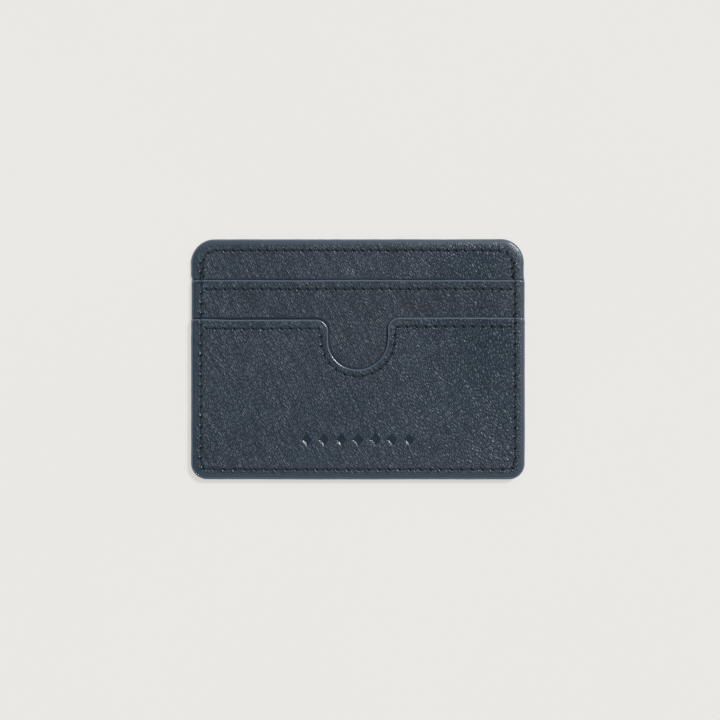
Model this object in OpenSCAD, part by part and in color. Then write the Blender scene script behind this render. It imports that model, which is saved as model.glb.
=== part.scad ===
// Slim card holder in cut-edge leather: two stepped front pockets, the lower one with a thumb
// notch, a central pocket open at the top, and a plain back wall.
// It lies on its back: X runs across the card, Y towards the open top, Z from back to front.
// The origin is the middle of the back face.

/* [Outline] */
// Width across the card
body_w = 100; // [98:0.5:110]
// Height from the closed bottom to the open top
body_h = 72; // [70:0.5:80]
// Radius of the two corners at the open top
top_corner_r = 7.2; // [6:0.1:9]
// Radius of the two corners at the closed bottom
bottom_corner_r = 4.8; // [4.2:0.1:7]

/* [Sheets] */
// Leather of the front wall and the back wall
wall_t = 0.8; // [0.75:0.05:1.1]
// Leather of the two front pockets
pocket_t = 0.7; // [0.65:0.05:1]
// Textile lining bonded behind each leather
lining_t = 0.15; // [0.1:0.01:0.2]
// Double-sided tape under the seams, and so the room in each slot while it is empty and flat
slot_gap = 0.15; // [0.12:0.01:0.8]
// Edge coating on every cut edge
coat_t = 0.3; // [0.2:0.05:0.4]

/* [Pockets] */
// From the open top down to the mouth of the upper pocket
upper_mouth_drop = 12.3; // [11:0.1:14]
// From the open top down to the mouth of the lower pocket
lower_mouth_drop = 23.9; // [22.5:0.1:26]
// Width of the thumb notch
notch_w = 17.8; // [16:0.2:20]
// Depth of the thumb notch below the mouth
notch_depth = 15.2; // [14.5:0.1:16]
// Radius where the notch meets the mouth
notch_lip_r = 3.5; // [3.2:0.1:4]
// Height of the upper slot's floor above the bottom edge
upper_floor_h = 14; // [13:0.1:15]

/* [Seams] */
// From the outline to the seam that joins every layer
perimeter_inset = 3; // [2.9:0.05:3.1]
// Stitch length of that seam
perimeter_pitch = 3.1; // [2.8:0.1:3.4]
// From the open top to the seam along it
top_inset = 3.4; // [3.2:0.05:3.8]
// From the perimeter seam to the run of the top seam beside it
seam_spacing = 0.6; // [0.6:0.05:1]
// Stitch length along the open top
top_pitch = 2.6; // [2.4:0.1:2.9]
// From a pocket's mouth to its seam
mouth_inset = 2.75; // [2.6:0.05:2.9]
// From the notch to the seam round it
notch_inset = 2.2; // [2.1:0.05:2.4]
// Stitch length along the mouths
mouth_pitch = 2.8; // [2.5:0.1:3]
// Diameter of the sewing thread
thread_d = 0.32; // [0.26:0.01:0.34]
// Width of a strip of tape
tape_w = 4.5; // [4.3:0.05:4.8]

/* [Ornament] */
// Number of debossed lozenges
lozenge_count = 7; // [5:2:9]
// Distance between lozenge centres
lozenge_pitch = 5.1; // [4.6:0.1:5.4]
// Height of a lozenge
lozenge_h = 3.8; // [3:0.1:4.4]
// Depth of the deboss
deboss_depth = 0.15; // [0.1:0.01:0.2]

/* [Hidden] */
$fn = 48;

LEATHER = [0.05, 0.08, 0.11];
LINING = [0.10, 0.11, 0.13];
COATING = [0.09, 0.12, 0.16];
TAPE = [0.75, 0.72, 0.62];
THREAD = [0.02, 0.025, 0.035];

// Heights of the layers, from the table up: each name is the layer's back face.
z_back_lining = wall_t;
z_centre_slot = z_back_lining + lining_t;
z_front_lining = z_centre_slot + slot_gap;
z_front = z_front_lining + lining_t;
z_upper_slot = z_front + wall_t;
z_upper_lining = z_upper_slot + slot_gap;
z_upper = z_upper_lining + lining_t;
z_lower_slot = z_upper + pocket_t;
z_lower_lining = z_lower_slot + slot_gap;
z_lower = z_lower_lining + lining_t;
body_t = z_lower + pocket_t;

half_w = body_w / 2;
half_h = body_h / 2;
upper_mouth = half_h - upper_mouth_drop;
lower_mouth = half_h - lower_mouth_drop;
notch_r = notch_w / 2;
notch_y = lower_mouth - notch_depth + notch_r;
shoulder = half_h - top_corner_r;      // where the side straights end and the top corners begin
floor_y = upper_floor_h - half_h;
lozenge_w = lozenge_pitch * 0.62;
lozenge_y = -half_h + 11.8;

thread_r = thread_d / 2;
groove_w = thread_d + 0.12;           // a thread lies in a groove with room on both sides
bed = thread_r + 0.01;                 // depth of a thread's axis below the face it lies in
groove_depth = thread_d + 0.02;
hole_r = thread_r + 0.12;              // needle hole
leg_r = thread_r + 0.06;               // both threads together, inside a needle hole
stitch_gap = 0.12;                     // from a hole's axis to the end of the stitch beside it
lip_gap = 0.25;                        // how far past a mouth the perimeter thread drops
far = 2 * body_w;
eps = 0.01;

// ---------- outlines ----------

// The holder's outline, moved inwards by inset.
module outline(inset = 0) {
    w = half_w - inset;
    h = half_h - inset;
    top_r = max(top_corner_r - inset, 0.6);
    bottom_r = max(bottom_corner_r - inset, 0.6);
    difference() {
        square([2 * w, 2 * h], center = true);
        for (side = [-1, 1]) {
            corner_cut([side * w, h], [side, 1], top_r);
            corner_cut([side * w, -h], [side, -1], bottom_r);
        }
    }
}

// What rounding a corner takes away. at is the corner, and out points out of it.
module corner_cut(at, out, r) {
    translate([at[0] - out[0] * r, at[1] - out[1] * r])
        difference() {
            translate([min(0, out[0]) * (r + 1), min(0, out[1]) * (r + 1)])
                square(r + 1);
            circle(r);
        }
}

// Everything below the line y = top.
module below(top) {
    translate([-far / 2, top - far]) square(far);
}

// Everything between two lines.
module between(low, high) {
    translate([-far / 2, low]) square([far, high - low]);
}

// The thumb notch, grown by grow all round.
module notch(grow = 0) {
    r = notch_r + grow;
    lip_r = notch_lip_r - grow;
    mouth = lower_mouth - grow;
    translate([0, notch_y]) circle(r);
    translate([-r, notch_y]) square([2 * r, mouth - notch_y + 1]);
    for (side = [-1, 1])
        difference() {
            translate([side > 0 ? r - eps : -r - lip_r, mouth - lip_r])
                square([lip_r + eps, lip_r + 1]);
            translate([side * (r + lip_r), mouth - lip_r]) circle(lip_r);
        }
}

// A pocket sheet: the outline up to a mouth, with or without the thumb notch.
// inset is from the outline, and mouth_cut from the mouth.
module pocket_outline(mouth, inset, mouth_cut, has_notch) {
    difference() {
        intersection() {
            outline(inset);
            below(mouth - mouth_cut);
        }
        if (has_notch) notch(mouth_cut);
    }
}

module sheet(z, t) {
    translate([0, 0, z]) linear_extrude(t) children();
}

// ---------- seams ----------
// A path is a list of segments. A line is [start, end], and an arc [centre, radius, from, to].

function seg_len(g) = len(g) == 2 ? norm(g[1] - g[0]) : g[1] * abs(g[3] - g[2]) * PI / 180;
function seg_point(g, s) = len(g) == 2
    ? g[0] + (g[1] - g[0]) * s / seg_len(g)
    : let (a = g[2] + (g[3] - g[2]) * s / seg_len(g)) g[0] + g[1] * [cos(a), sin(a)];
function path_len(path, i = 0) = i == len(path) ? 0 : seg_len(path[i]) + path_len(path, i + 1);
function path_point(path, s, i = 0) = i == len(path) - 1 || s <= seg_len(path[i])
    ? seg_point(path[i], s)
    : path_point(path, s - seg_len(path[i]), i + 1);
// The needle holes along a path, evenly spaced as near to pitch as fits.
function needle_holes(path, pitch) = let (total = path_len(path), n = round(total / pitch))
    [for (i = [0:n]) path_point(path, i * total / n)];

side_x = half_w - perimeter_inset;
seam_r = bottom_corner_r - perimeter_inset;
seam_foot = -half_h + bottom_corner_r;
perimeter_path = [
    [[-side_x, shoulder], [-side_x, seam_foot]],
    [[-side_x + seam_r, seam_foot], seam_r, 180, 270],
    [[-side_x + seam_r, seam_foot - seam_r], [side_x - seam_r, seam_foot - seam_r]],
    [[side_x - seam_r, seam_foot], seam_r, 270, 360],
    [[side_x, seam_foot], [side_x, shoulder]],
];

top_x = side_x - seam_spacing;
top_r = top_corner_r - top_inset;
top_end = upper_mouth + 0.9;
top_path = [
    [[-top_x, top_end], [-top_x, shoulder]],
    [[-top_x + top_r, shoulder], top_r, 180, 90],
    [[-top_x + top_r, shoulder + top_r], [top_x - top_r, shoulder + top_r]],
    [[top_x - top_r, shoulder], top_r, 90, 0],
    [[top_x, shoulder], [top_x, top_end]],
];

mouth_x = side_x - 1.4;                // the mouth seams stop just inside the perimeter seam
upper_seam_y = upper_mouth - mouth_inset;
upper_mouth_path = [[[-mouth_x, upper_seam_y], [mouth_x, upper_seam_y]]];

lower_seam_y = lower_mouth - mouth_inset;
around_r = notch_r + notch_inset;
turn_r = 1.1;                          // the seam's bend beside the notch
turn_x = around_r + turn_r;
turn_y = lower_seam_y - turn_r;
lower_mouth_path = [
    [[-mouth_x, lower_seam_y], [-turn_x, lower_seam_y]],
    [[-turn_x, turn_y], turn_r, 90, 0],
    [[-around_r, turn_y], [-around_r, notch_y]],
    [[0, notch_y], around_r, 180, 360],
    [[around_r, notch_y], [around_r, turn_y]],
    [[turn_x, turn_y], turn_r, 180, 90],
    [[turn_x, lower_seam_y], [mouth_x, lower_seam_y]],
];

floor_x = half_w - coat_t - tape_w - 1.2;
floor_path = [[[-floor_x, floor_y], [floor_x, floor_y]]];

perimeter_holes = needle_holes(perimeter_path, perimeter_pitch);
top_holes = needle_holes(top_path, top_pitch);
upper_mouth_holes = needle_holes(upper_mouth_path, mouth_pitch);
lower_mouth_holes = needle_holes(lower_mouth_path, mouth_pitch);
floor_holes = needle_holes(floor_path, perimeter_pitch);

// Needle holes through a layer, and the grooves in one of its faces. face is that face's height,
// and into is 1 where the layer lies above the face and -1 where it lies below.
module holes_cut(holes) {
    for (p = holes)
        translate([p[0], p[1], -1]) cylinder(r = hole_r, h = body_t + 2, $fn = 36);
}

module grooves_cut(holes, face, into) {
    for (i = [0:len(holes) - 2])
        along(holes[i], holes[i + 1])
            translate([0, -groove_w / 2, into > 0 ? face - 1 : face - groove_depth])
                cube([norm(holes[i + 1] - holes[i]), groove_w, 1 + groove_depth]);
}

// Children drawn along +X are turned to run from a to b.
module along(a, b) {
    translate([a[0], a[1], 0]) rotate(atan2(b[1] - a[1], b[0] - a[0])) children();
}

// One straight piece of thread between two points of the same height.
module stitch(a, b, z, gap_a = stitch_gap, gap_b = stitch_gap) {
    along(a, b)
        translate([gap_a, 0, z]) rotate([0, 90, 0])
            cylinder(r = thread_r, h = norm(b - a) - gap_a - gap_b, $fn = 36);
}

module leg(p, low, high) {
    translate([p[0], p[1], low]) cylinder(r = leg_r, h = high - low, $fn = 36);
}

// A flat seam through the layers from low to high: stitches in both faces, and the legs that join them.
module flat_seam(holes, low, high) {
    for (i = [0:len(holes) - 2]) {
        stitch(holes[i], holes[i + 1], high - bed);
        stitch(holes[i], holes[i + 1], low + bed);
    }
    for (p = holes) leg(p, low + bed, high - bed);
}

// The front face of the holder at height y up the sides.
function front_face(y) = y < lower_mouth ? body_t : y < upper_mouth ? z_lower_slot : z_upper_slot;

// The mouth between two points, if there is one.
function mouth_between(a, b) =
    front_face(a[1]) == front_face(b[1]) ? undef
    : min(a[1], b[1]) < lower_mouth ? lower_mouth : upper_mouth;

// A stitch of the perimeter seam in the front face. Past a mouth it drops to the layer behind.
module front_stitch(a, b) {
    mouth = mouth_between(a, b);
    if (is_undef(mouth)) {
        stitch(a, b, front_face(a[1]) - bed);
    } else {
        under = a[1] < b[1] ? a : b;
        over = a[1] < b[1] ? b : a;
        drop = [under[0], mouth + lip_gap];
        high = front_face(under[1]) - bed;
        low = front_face(over[1]) - bed;
        stitch(under, drop, high, stitch_gap, 0);
        stitch(drop, over, low, 0, stitch_gap);
        translate([drop[0], drop[1], low]) cylinder(r = leg_r, h = high - low, $fn = 36);
    }
}

// ---------- leather ----------

module back_wall() {
    color(LEATHER)
    difference() {
        sheet(0, wall_t) outline(coat_t);
        holes_cut(concat(perimeter_holes, top_holes));
        grooves_cut(perimeter_holes, 0, 1);
        grooves_cut(top_holes, 0, 1);
        grooves_cut(top_holes, z_back_lining + lining_t, -1);
    }
}

module front_wall() {
    color(LEATHER)
    difference() {
        sheet(z_front, wall_t) outline(coat_t);
        holes_cut(concat(perimeter_holes, top_holes, floor_holes));
        grooves_cut(perimeter_holes, z_upper_slot, -1);
        grooves_cut(top_holes, z_upper_slot, -1);
        grooves_cut(top_holes, z_front_lining, 1);
        grooves_cut(floor_holes, z_front, 1);
    }
}

module front_upper_pocket() {
    color(LEATHER)
    difference() {
        sheet(z_upper, pocket_t) pocket_outline(upper_mouth, coat_t, coat_t, false);
        holes_cut(concat(perimeter_holes, upper_mouth_holes, floor_holes));
        grooves_cut(perimeter_holes, z_lower_slot, -1);
        grooves_cut(upper_mouth_holes, z_lower_slot, -1);
        grooves_cut(upper_mouth_holes, z_upper_lining, 1);
        grooves_cut(floor_holes, z_lower_slot, -1);
    }
}

module front_lower_pocket() {
    color(LEATHER)
    difference() {
        sheet(z_lower, pocket_t) pocket_outline(lower_mouth, coat_t, coat_t, true);
        holes_cut(concat(perimeter_holes, lower_mouth_holes));
        grooves_cut(perimeter_holes, body_t, -1);
        grooves_cut(lower_mouth_holes, body_t, -1);
        grooves_cut(lower_mouth_holes, z_lower_lining, 1);
        ornament_cut();
    }
}

// A row of lozenges pressed into the lower pocket.
module ornament_cut() {
    middle = (lozenge_count - 1) / 2;
    for (i = [0:lozenge_count - 1])
        translate([(i - middle) * lozenge_pitch, lozenge_y, body_t - deboss_depth])
            linear_extrude(1)
                polygon([[-lozenge_w / 2, 0], [0, -lozenge_h / 2], [lozenge_w / 2, 0], [0, lozenge_h / 2]]);
}

// ---------- linings ----------

module back_wall_lining() {
    color(LINING)
    difference() {
        sheet(z_back_lining, lining_t) outline(coat_t);
        holes_cut(concat(perimeter_holes, top_holes));
        grooves_cut(top_holes, z_centre_slot, -1);
    }
}

module front_wall_lining() {
    color(LINING)
    difference() {
        sheet(z_front_lining, lining_t) outline(coat_t);
        holes_cut(concat(perimeter_holes, top_holes));
        grooves_cut(top_holes, z_front_lining, 1);
    }
}

module front_upper_pocket_lining() {
    color(LINING)
    difference() {
        sheet(z_upper_lining, lining_t) pocket_outline(upper_mouth, coat_t, coat_t, false);
        holes_cut(concat(perimeter_holes, upper_mouth_holes, floor_holes));
        grooves_cut(upper_mouth_holes, z_upper_lining, 1);
    }
}

module front_lower_pocket_lining() {
    color(LINING)
    difference() {
        sheet(z_lower_lining, lining_t) pocket_outline(lower_mouth, coat_t, coat_t, true);
        holes_cut(concat(perimeter_holes, lower_mouth_holes));
        grooves_cut(lower_mouth_holes, z_lower_lining, 1);
    }
}

// ---------- tapes ----------
// Three strips bond each slot's margins: one down each side and one along the bottom.

tape_foot = -half_h + coat_t + tape_w;

module side_tape(side, z, top) {
    color(TAPE)
    difference() {
        sheet(z, slot_gap)
            intersection() {
                outline(coat_t);
                between(tape_foot, top);
                translate([side > 0 ? half_w - coat_t - tape_w : -half_w, -half_h])
                    square([coat_t + tape_w, body_h]);
            }
        holes_cut(perimeter_holes);
    }
}

module bottom_tape(z) {
    color(TAPE)
    difference() {
        sheet(z, slot_gap)
            intersection() {
                outline(coat_t);
                below(tape_foot);
            }
        holes_cut(perimeter_holes);
    }
}

module centre_left_tape() { side_tape(-1, z_centre_slot, shoulder + 1); }
module centre_right_tape() { side_tape(1, z_centre_slot, shoulder + 1); }
module centre_bottom_tape() { bottom_tape(z_centre_slot); }
module upper_slot_left_tape() { side_tape(-1, z_upper_slot, upper_mouth - coat_t); }
module upper_slot_right_tape() { side_tape(1, z_upper_slot, upper_mouth - coat_t); }
module upper_slot_bottom_tape() { bottom_tape(z_upper_slot); }
module lower_slot_left_tape() { side_tape(-1, z_lower_slot, lower_mouth - coat_t); }
module lower_slot_right_tape() { side_tape(1, z_lower_slot, lower_mouth - coat_t); }
module lower_slot_bottom_tape() { bottom_tape(z_lower_slot); }

// The strip that a card in the upper slot stands on.
module upper_slot_floor_tape() {
    color(TAPE)
    difference() {
        sheet(z_upper_slot, slot_gap)
            intersection() {
                between(floor_y - tape_w / 2, floor_y + tape_w / 2);
                translate([-half_w + coat_t + tape_w, -half_h])
                    square([body_w - 2 * (coat_t + tape_w), body_h]);
            }
        holes_cut(floor_holes);
    }
}

// ---------- edge coatings ----------

module coating_ring() {
    difference() {
        outline();
        outline(coat_t);
    }
}

// The coat over the stacked edges, which steps down at each mouth.
module perimeter_edge_coating() {
    steps = [[-half_h, lower_mouth, body_t], [lower_mouth, upper_mouth, z_lower_slot],
             [upper_mouth, shoulder, z_upper_slot]];
    color(COATING)
    for (s = steps)
        sheet(0, s[2])
            intersection() {
                coating_ring();
                between(s[0], s[1]);
            }
}

module wall_edge_coating(z) {
    color(COATING)
    sheet(z, wall_t + lining_t)
        intersection() {
            coating_ring();
            between(shoulder, half_h);
        }
}

module back_wall_edge_coating() { wall_edge_coating(0); }
module front_wall_edge_coating() { wall_edge_coating(z_front_lining); }

module mouth_coating(mouth, z, has_notch) {
    color(COATING)
    difference() {
        sheet(z, lining_t + pocket_t)
            difference() {
                pocket_outline(mouth, coat_t, 0, has_notch);
                pocket_outline(mouth, coat_t, coat_t, has_notch);
            }
        grooves_cut(perimeter_holes, z + lining_t + pocket_t, -1);
    }
}

module front_upper_pocket_edge_coating() { mouth_coating(upper_mouth, z_upper_lining, false); }
module front_lower_pocket_edge_coating() { mouth_coating(lower_mouth, z_lower_lining, true); }

// ---------- threads ----------

module perimeter_thread() {
    color(THREAD) {
        for (i = [0:len(perimeter_holes) - 2]) {
            front_stitch(perimeter_holes[i], perimeter_holes[i + 1]);
            stitch(perimeter_holes[i], perimeter_holes[i + 1], bed);
        }
        for (p = perimeter_holes) leg(p, bed, front_face(p[1]) - bed);
    }
}

module back_wall_top_thread() {
    color(THREAD) flat_seam(top_holes, 0, z_centre_slot);
}

module front_wall_top_thread() {
    color(THREAD) flat_seam(top_holes, z_front_lining, z_upper_slot);
}

module front_upper_mouth_thread() {
    color(THREAD) flat_seam(upper_mouth_holes, z_upper_lining, z_lower_slot);
}

module front_lower_mouth_thread() {
    color(THREAD) flat_seam(lower_mouth_holes, z_lower_lining, body_t);
}

module upper_slot_floor_thread() {
    color(THREAD) flat_seam(floor_holes, z_front, z_lower_slot);
}

back_wall();
back_wall_lining();
front_wall();
front_wall_lining();
front_upper_pocket();
front_upper_pocket_lining();
front_lower_pocket();
front_lower_pocket_lining();
centre_left_tape();
centre_right_tape();
centre_bottom_tape();
upper_slot_left_tape();
upper_slot_right_tape();
upper_slot_bottom_tape();
upper_slot_floor_tape();
lower_slot_left_tape();
lower_slot_right_tape();
lower_slot_bottom_tape();
perimeter_edge_coating();
back_wall_edge_coating();
front_wall_edge_coating();
front_upper_pocket_edge_coating();
front_lower_pocket_edge_coating();
perimeter_thread();
back_wall_top_thread();
front_wall_top_thread();
front_upper_mouth_thread();
front_lower_mouth_thread();
upper_slot_floor_thread();
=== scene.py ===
"""Looks for a slim leather card holder that lies flat on its back.

Four pebbled leather sheets, their linings, the edge paint and every stitch are built as meshes round
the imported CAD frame. Lengths are in millimetres until a mesh is made. X runs across a card, Y towards
the open top, Z from back to front. A sheet's depth at a point is how far in from its edge the point is.
"""

import bpy
import numpy as np
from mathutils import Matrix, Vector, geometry


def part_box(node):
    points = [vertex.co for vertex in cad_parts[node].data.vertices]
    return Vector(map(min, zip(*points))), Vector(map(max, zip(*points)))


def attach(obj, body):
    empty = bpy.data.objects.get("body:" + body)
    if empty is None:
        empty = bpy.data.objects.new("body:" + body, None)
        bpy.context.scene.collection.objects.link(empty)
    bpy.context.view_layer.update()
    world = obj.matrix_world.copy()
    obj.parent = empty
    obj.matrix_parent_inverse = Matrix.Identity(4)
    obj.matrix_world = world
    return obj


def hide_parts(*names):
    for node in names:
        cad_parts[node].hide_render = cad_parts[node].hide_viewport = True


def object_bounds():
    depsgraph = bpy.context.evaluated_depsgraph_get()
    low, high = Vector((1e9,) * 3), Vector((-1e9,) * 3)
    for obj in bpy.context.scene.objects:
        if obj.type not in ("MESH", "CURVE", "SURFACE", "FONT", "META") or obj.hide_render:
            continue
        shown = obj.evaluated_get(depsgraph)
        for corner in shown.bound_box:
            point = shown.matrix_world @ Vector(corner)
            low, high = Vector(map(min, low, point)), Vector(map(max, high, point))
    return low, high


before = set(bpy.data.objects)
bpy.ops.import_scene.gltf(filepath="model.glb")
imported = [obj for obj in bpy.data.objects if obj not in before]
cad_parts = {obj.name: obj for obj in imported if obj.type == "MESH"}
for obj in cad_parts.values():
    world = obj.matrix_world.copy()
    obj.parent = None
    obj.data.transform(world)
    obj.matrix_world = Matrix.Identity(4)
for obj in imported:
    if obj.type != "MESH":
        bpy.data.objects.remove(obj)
cad_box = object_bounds()

MM = 0.001
scene = bpy.context.scene


def node_box(name):
    """Lowest and highest corner of a CAD node, in mm."""
    low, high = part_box(name)
    return np.array(low) / MM, np.array(high) / MM


# -------- sizes from the frame

HALF_W, HALF_H, BODY_T = np.array(cad_box[1]) / MM
LIP_LOW, LIP_HIGH = node_box("front_upper_pocket_edge_coating")
NOTCH_LOW, NOTCH_HIGH = node_box("front_lower_pocket_edge_coating")
COAT = LIP_HIGH[1] - LIP_LOW[1]
UPPER_MOUTH = LIP_HIGH[1]
LOWER_MOUTH = NOTCH_HIGH[1]
NOTCH_FOOT = NOTCH_LOW[1] + COAT

SEAM_LOW, SEAM_HIGH = node_box("front_upper_mouth_thread")
LEG_R = (SEAM_HIGH[1] - SEAM_LOW[1]) / 2
MOUTH_SEAM_X = SEAM_HIGH[0] - LEG_R
MOUTH_INSET = UPPER_MOUTH - (SEAM_LOW[1] + SEAM_HIGH[1]) / 2
NOTCH_SEAM_FOOT = node_box("front_lower_mouth_thread")[0][1] + LEG_R
PERIMETER_X = node_box("perimeter_thread")[1][0] - LEG_R
PERIMETER_INSET = HALF_W - PERIMETER_X
TOP_SEAM_HIGH = node_box("front_wall_top_thread")[1]
TOP_SEAM_X = TOP_SEAM_HIGH[0] - LEG_R
TOP_INSET = HALF_H - (TOP_SEAM_HIGH[1] - LEG_R)
FLOOR_LOW, FLOOR_HIGH = node_box("upper_slot_floor_thread")
FLOOR_SEAM_X = FLOOR_HIGH[0] - LEG_R
FLOOR_SEAM_Y = (FLOOR_LOW[1] + FLOOR_HIGH[1]) / 2

# Plan radii, as in the CAD part
TOP_R = 7.2
BOTTOM_R = 4.8
NOTCH_R = 8.9
NOTCH_LIP_R = 3.5
MOUTH_END_R = 1.5  # the painted corner where a mouth meets a side
SHOULDER = HALF_H - TOP_R
NOTCH_Y = NOTCH_FOOT + NOTCH_R
NOTCH_SEAM_R = NOTCH_Y - NOTCH_SEAM_FOOT
NOTCH_BEND_R = 1.1  # the seam's bend beside the notch
TOP_SEAM_END = 0.9  # how far over the upper mouth the top seam ends

# Stitch lengths
PERIMETER_PITCH = 3.1
TOP_PITCH = 2.6
MOUTH_PITCH = 2.8

# Grain: length and width of a pebble, and the way the long side runs
PEBBLE_L = 1.5
PEBBLE_W = 0.62
PEBBLE_ANGLE = np.radians(-63)
GRAIN_HEIGHT = 0.16

SEED = 11
rng = np.random.default_rng(SEED)

# -------- number helpers


def smooth(a, b, x):
    """0 before a, 1 after b, and an even rise between them."""
    t = np.clip((x - a) / (b - a), 0, 1)
    return t * t * (3 - 2 * t)


def hashed(ix, iy, seed):
    """A steady random number from 0 to 1 for each pair of whole numbers."""
    h = (ix.astype(np.int64) * 374761393 + iy.astype(np.int64) * 668265263 + seed * 974634777) & 0xFFFFFFFF
    h = ((h ^ (h >> 13)) * 1274126177) & 0xFFFFFFFF
    h = ((h ^ (h >> 16)) * 2246822519) & 0xFFFFFFFF
    return ((h ^ (h >> 15)) & 0xFFFFFF) / float(0xFFFFFF)


def noise(x, y, size, seed):
    """Smooth noise from -1 to 1 whose lumps are about size across."""
    u, v = np.asarray(x) / size, np.asarray(y) / size
    iu, iv = np.floor(u), np.floor(v)
    fu, fv = smooth(0, 1, u - iu), smooth(0, 1, v - iv)
    low = hashed(iu, iv, seed) * (1 - fu) + hashed(iu + 1, iv, seed) * fu
    high = hashed(iu, iv + 1, seed) * (1 - fu) + hashed(iu + 1, iv + 1, seed) * fu
    return 2 * (low * (1 - fv) + high * fv) - 1


def run_along(points):
    """The distance from a line's first point to each of its points."""
    return np.concatenate([[0], np.cumsum(np.linalg.norm(np.diff(points, axis=0), axis=1))])


# -------- plan shapes


class Region:
    """A sheet in plan: the holder's outline, up to a mouth if there is one, with or without the notch."""

    STEP = 0.3          # between the points of its edge

    def __init__(self, mouth=None, notch=False):
        self.mouth = mouth
        self.notch = notch
        self.edge = self._edge()

    def _edge(self):
        """(points, inward directions, is it part of the mouth or the top) round the edge, anticlockwise.

        A point moved along its direction by d lies d mm in from the edge, also at the corners.
        """
        left, right, foot = -HALF_W, HALF_W, -HALF_H
        head = SHOULDER if self.mouth is None else self.mouth - MOUTH_END_R
        runs = [
            self._line((left, head), (left, foot + BOTTOM_R), (1, 0), False),
            self._arc((left + BOTTOM_R, foot + BOTTOM_R), BOTTOM_R, 180, 270, False),
            self._line((left + BOTTOM_R, foot), (right - BOTTOM_R, foot), (0, 1), False),
            self._arc((right - BOTTOM_R, foot + BOTTOM_R), BOTTOM_R, 270, 360, False),
            self._line((right, foot + BOTTOM_R), (right, head), (-1, 0), False),
        ]
        if self.mouth is None:
            runs += [
                self._arc((right - TOP_R, SHOULDER), TOP_R, 0, 90, True),
                self._line((right - TOP_R, HALF_H), (left + TOP_R, HALF_H), (0, -1), True),
                self._arc((left + TOP_R, SHOULDER), TOP_R, 90, 180, True),
            ]
            return [np.concatenate(p) for p in zip(*runs)]
        runs += [self._arc((right - MOUTH_END_R, head), MOUTH_END_R, 0, 90, True)]
        if self.notch:
            turn_x, turn_y = NOTCH_R + NOTCH_LIP_R, self.mouth - NOTCH_LIP_R
            runs += [
                self._line((right - MOUTH_END_R, self.mouth), (turn_x, self.mouth), (0, -1), True),
                self._arc((turn_x, turn_y), NOTCH_LIP_R, 90, 180, True),
                self._line((NOTCH_R, turn_y), (NOTCH_R, NOTCH_Y), (1, 0), True),
                self._arc((0, NOTCH_Y), NOTCH_R, 0, -180, True),
                self._line((-NOTCH_R, NOTCH_Y), (-NOTCH_R, turn_y), (-1, 0), True),
                self._arc((-turn_x, turn_y), NOTCH_LIP_R, 0, 90, True),
                self._line((-turn_x, self.mouth), (left + MOUTH_END_R, self.mouth), (0, -1), True),
            ]
        else:
            a, b = (right - MOUTH_END_R, self.mouth), (left + MOUTH_END_R, self.mouth)
            runs += [self._line(a, b, (0, -1), True)]
        runs += [self._arc((left + MOUTH_END_R, head), MOUTH_END_R, 90, 180, True)]
        return [np.concatenate(p) for p in zip(*runs)]

    def _line(self, a, b, inward, open_edge):
        """A straight run of the edge, without its last point."""
        a, b = np.array(a, float), np.array(b, float)
        n = max(2, int(np.ceil(np.linalg.norm(b - a) / self.STEP)))
        t = np.arange(n)[:, None] / n
        return a + (b - a) * t, np.tile(np.array(inward, float), (n, 1)), np.full(n, open_edge)

    def _arc(self, centre, r, start, end, open_edge):
        """A round run from one angle in degrees to another, without its last point."""
        n = max(6, int(np.ceil(abs(np.radians(end - start)) * r / self.STEP)))
        a = np.radians(start + (end - start) * np.arange(n) / n)
        out = np.stack([np.cos(a), np.sin(a)], 1)
        return np.array(centre) + r * out, -out if end > start else out, np.full(n, open_edge)

    def loop(self, inset):
        """The closed line that lies that far in from the edge."""
        return self.edge[0] + self.edge[1] * inset

    def outline_depth(self, x, y):
        """How far in from the holder's rounded outline a point is."""
        r = np.where(y > 0, TOP_R, BOTTOM_R)
        qx, qy = np.abs(x) - (HALF_W - r), np.abs(y) - (HALF_H - r)
        return r - np.hypot(np.maximum(qx, 0), np.maximum(qy, 0)) - np.minimum(np.maximum(qx, qy), 0)

    def lip_depth(self, x, y):
        """How far below the mouth or outside the notch a point is."""
        if self.mouth is None:
            return HALF_H - y
        if not self.notch:
            return self.mouth - y
        ax = np.abs(x)
        turn_x, turn_y = NOTCH_R + NOTCH_LIP_R, self.mouth - NOTCH_LIP_R
        beside = np.where(y < NOTCH_Y, np.hypot(ax, y - NOTCH_Y) - NOTCH_R, ax - NOTCH_R)
        corner = NOTCH_LIP_R - np.hypot(ax - turn_x, y - turn_y)
        near_corner = (ax < turn_x) & (y > turn_y)
        below_mouth = np.where(ax >= turn_x, self.mouth - y, 99.0)
        return np.where(near_corner, corner, np.minimum(beside, below_mouth))

    def depth(self, x, y):
        """How far in from the nearest part of the edge a point is."""
        return np.minimum(self.outline_depth(x, y), self.lip_depth(x, y))


WALL = Region()
UPPER = Region(UPPER_MOUTH)
LOWER = Region(LOWER_MOUTH, notch=True)

# -------- seams

SLIT_ANGLE = np.radians(-52)  # a needle slit's turn from the seam's direction
SLIT_L = 0.42
SLIT_W = 0.16
PULL = (0.4, 1.5)  # the least and the greatest pull of the thread on the leather at a hole
SWELL_L = 0.50
SWELLS = ((-0.62, 0.34, 1.0), (0.50, 0.30, 0.3))  # place across the slit, width and share of each swelling


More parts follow.
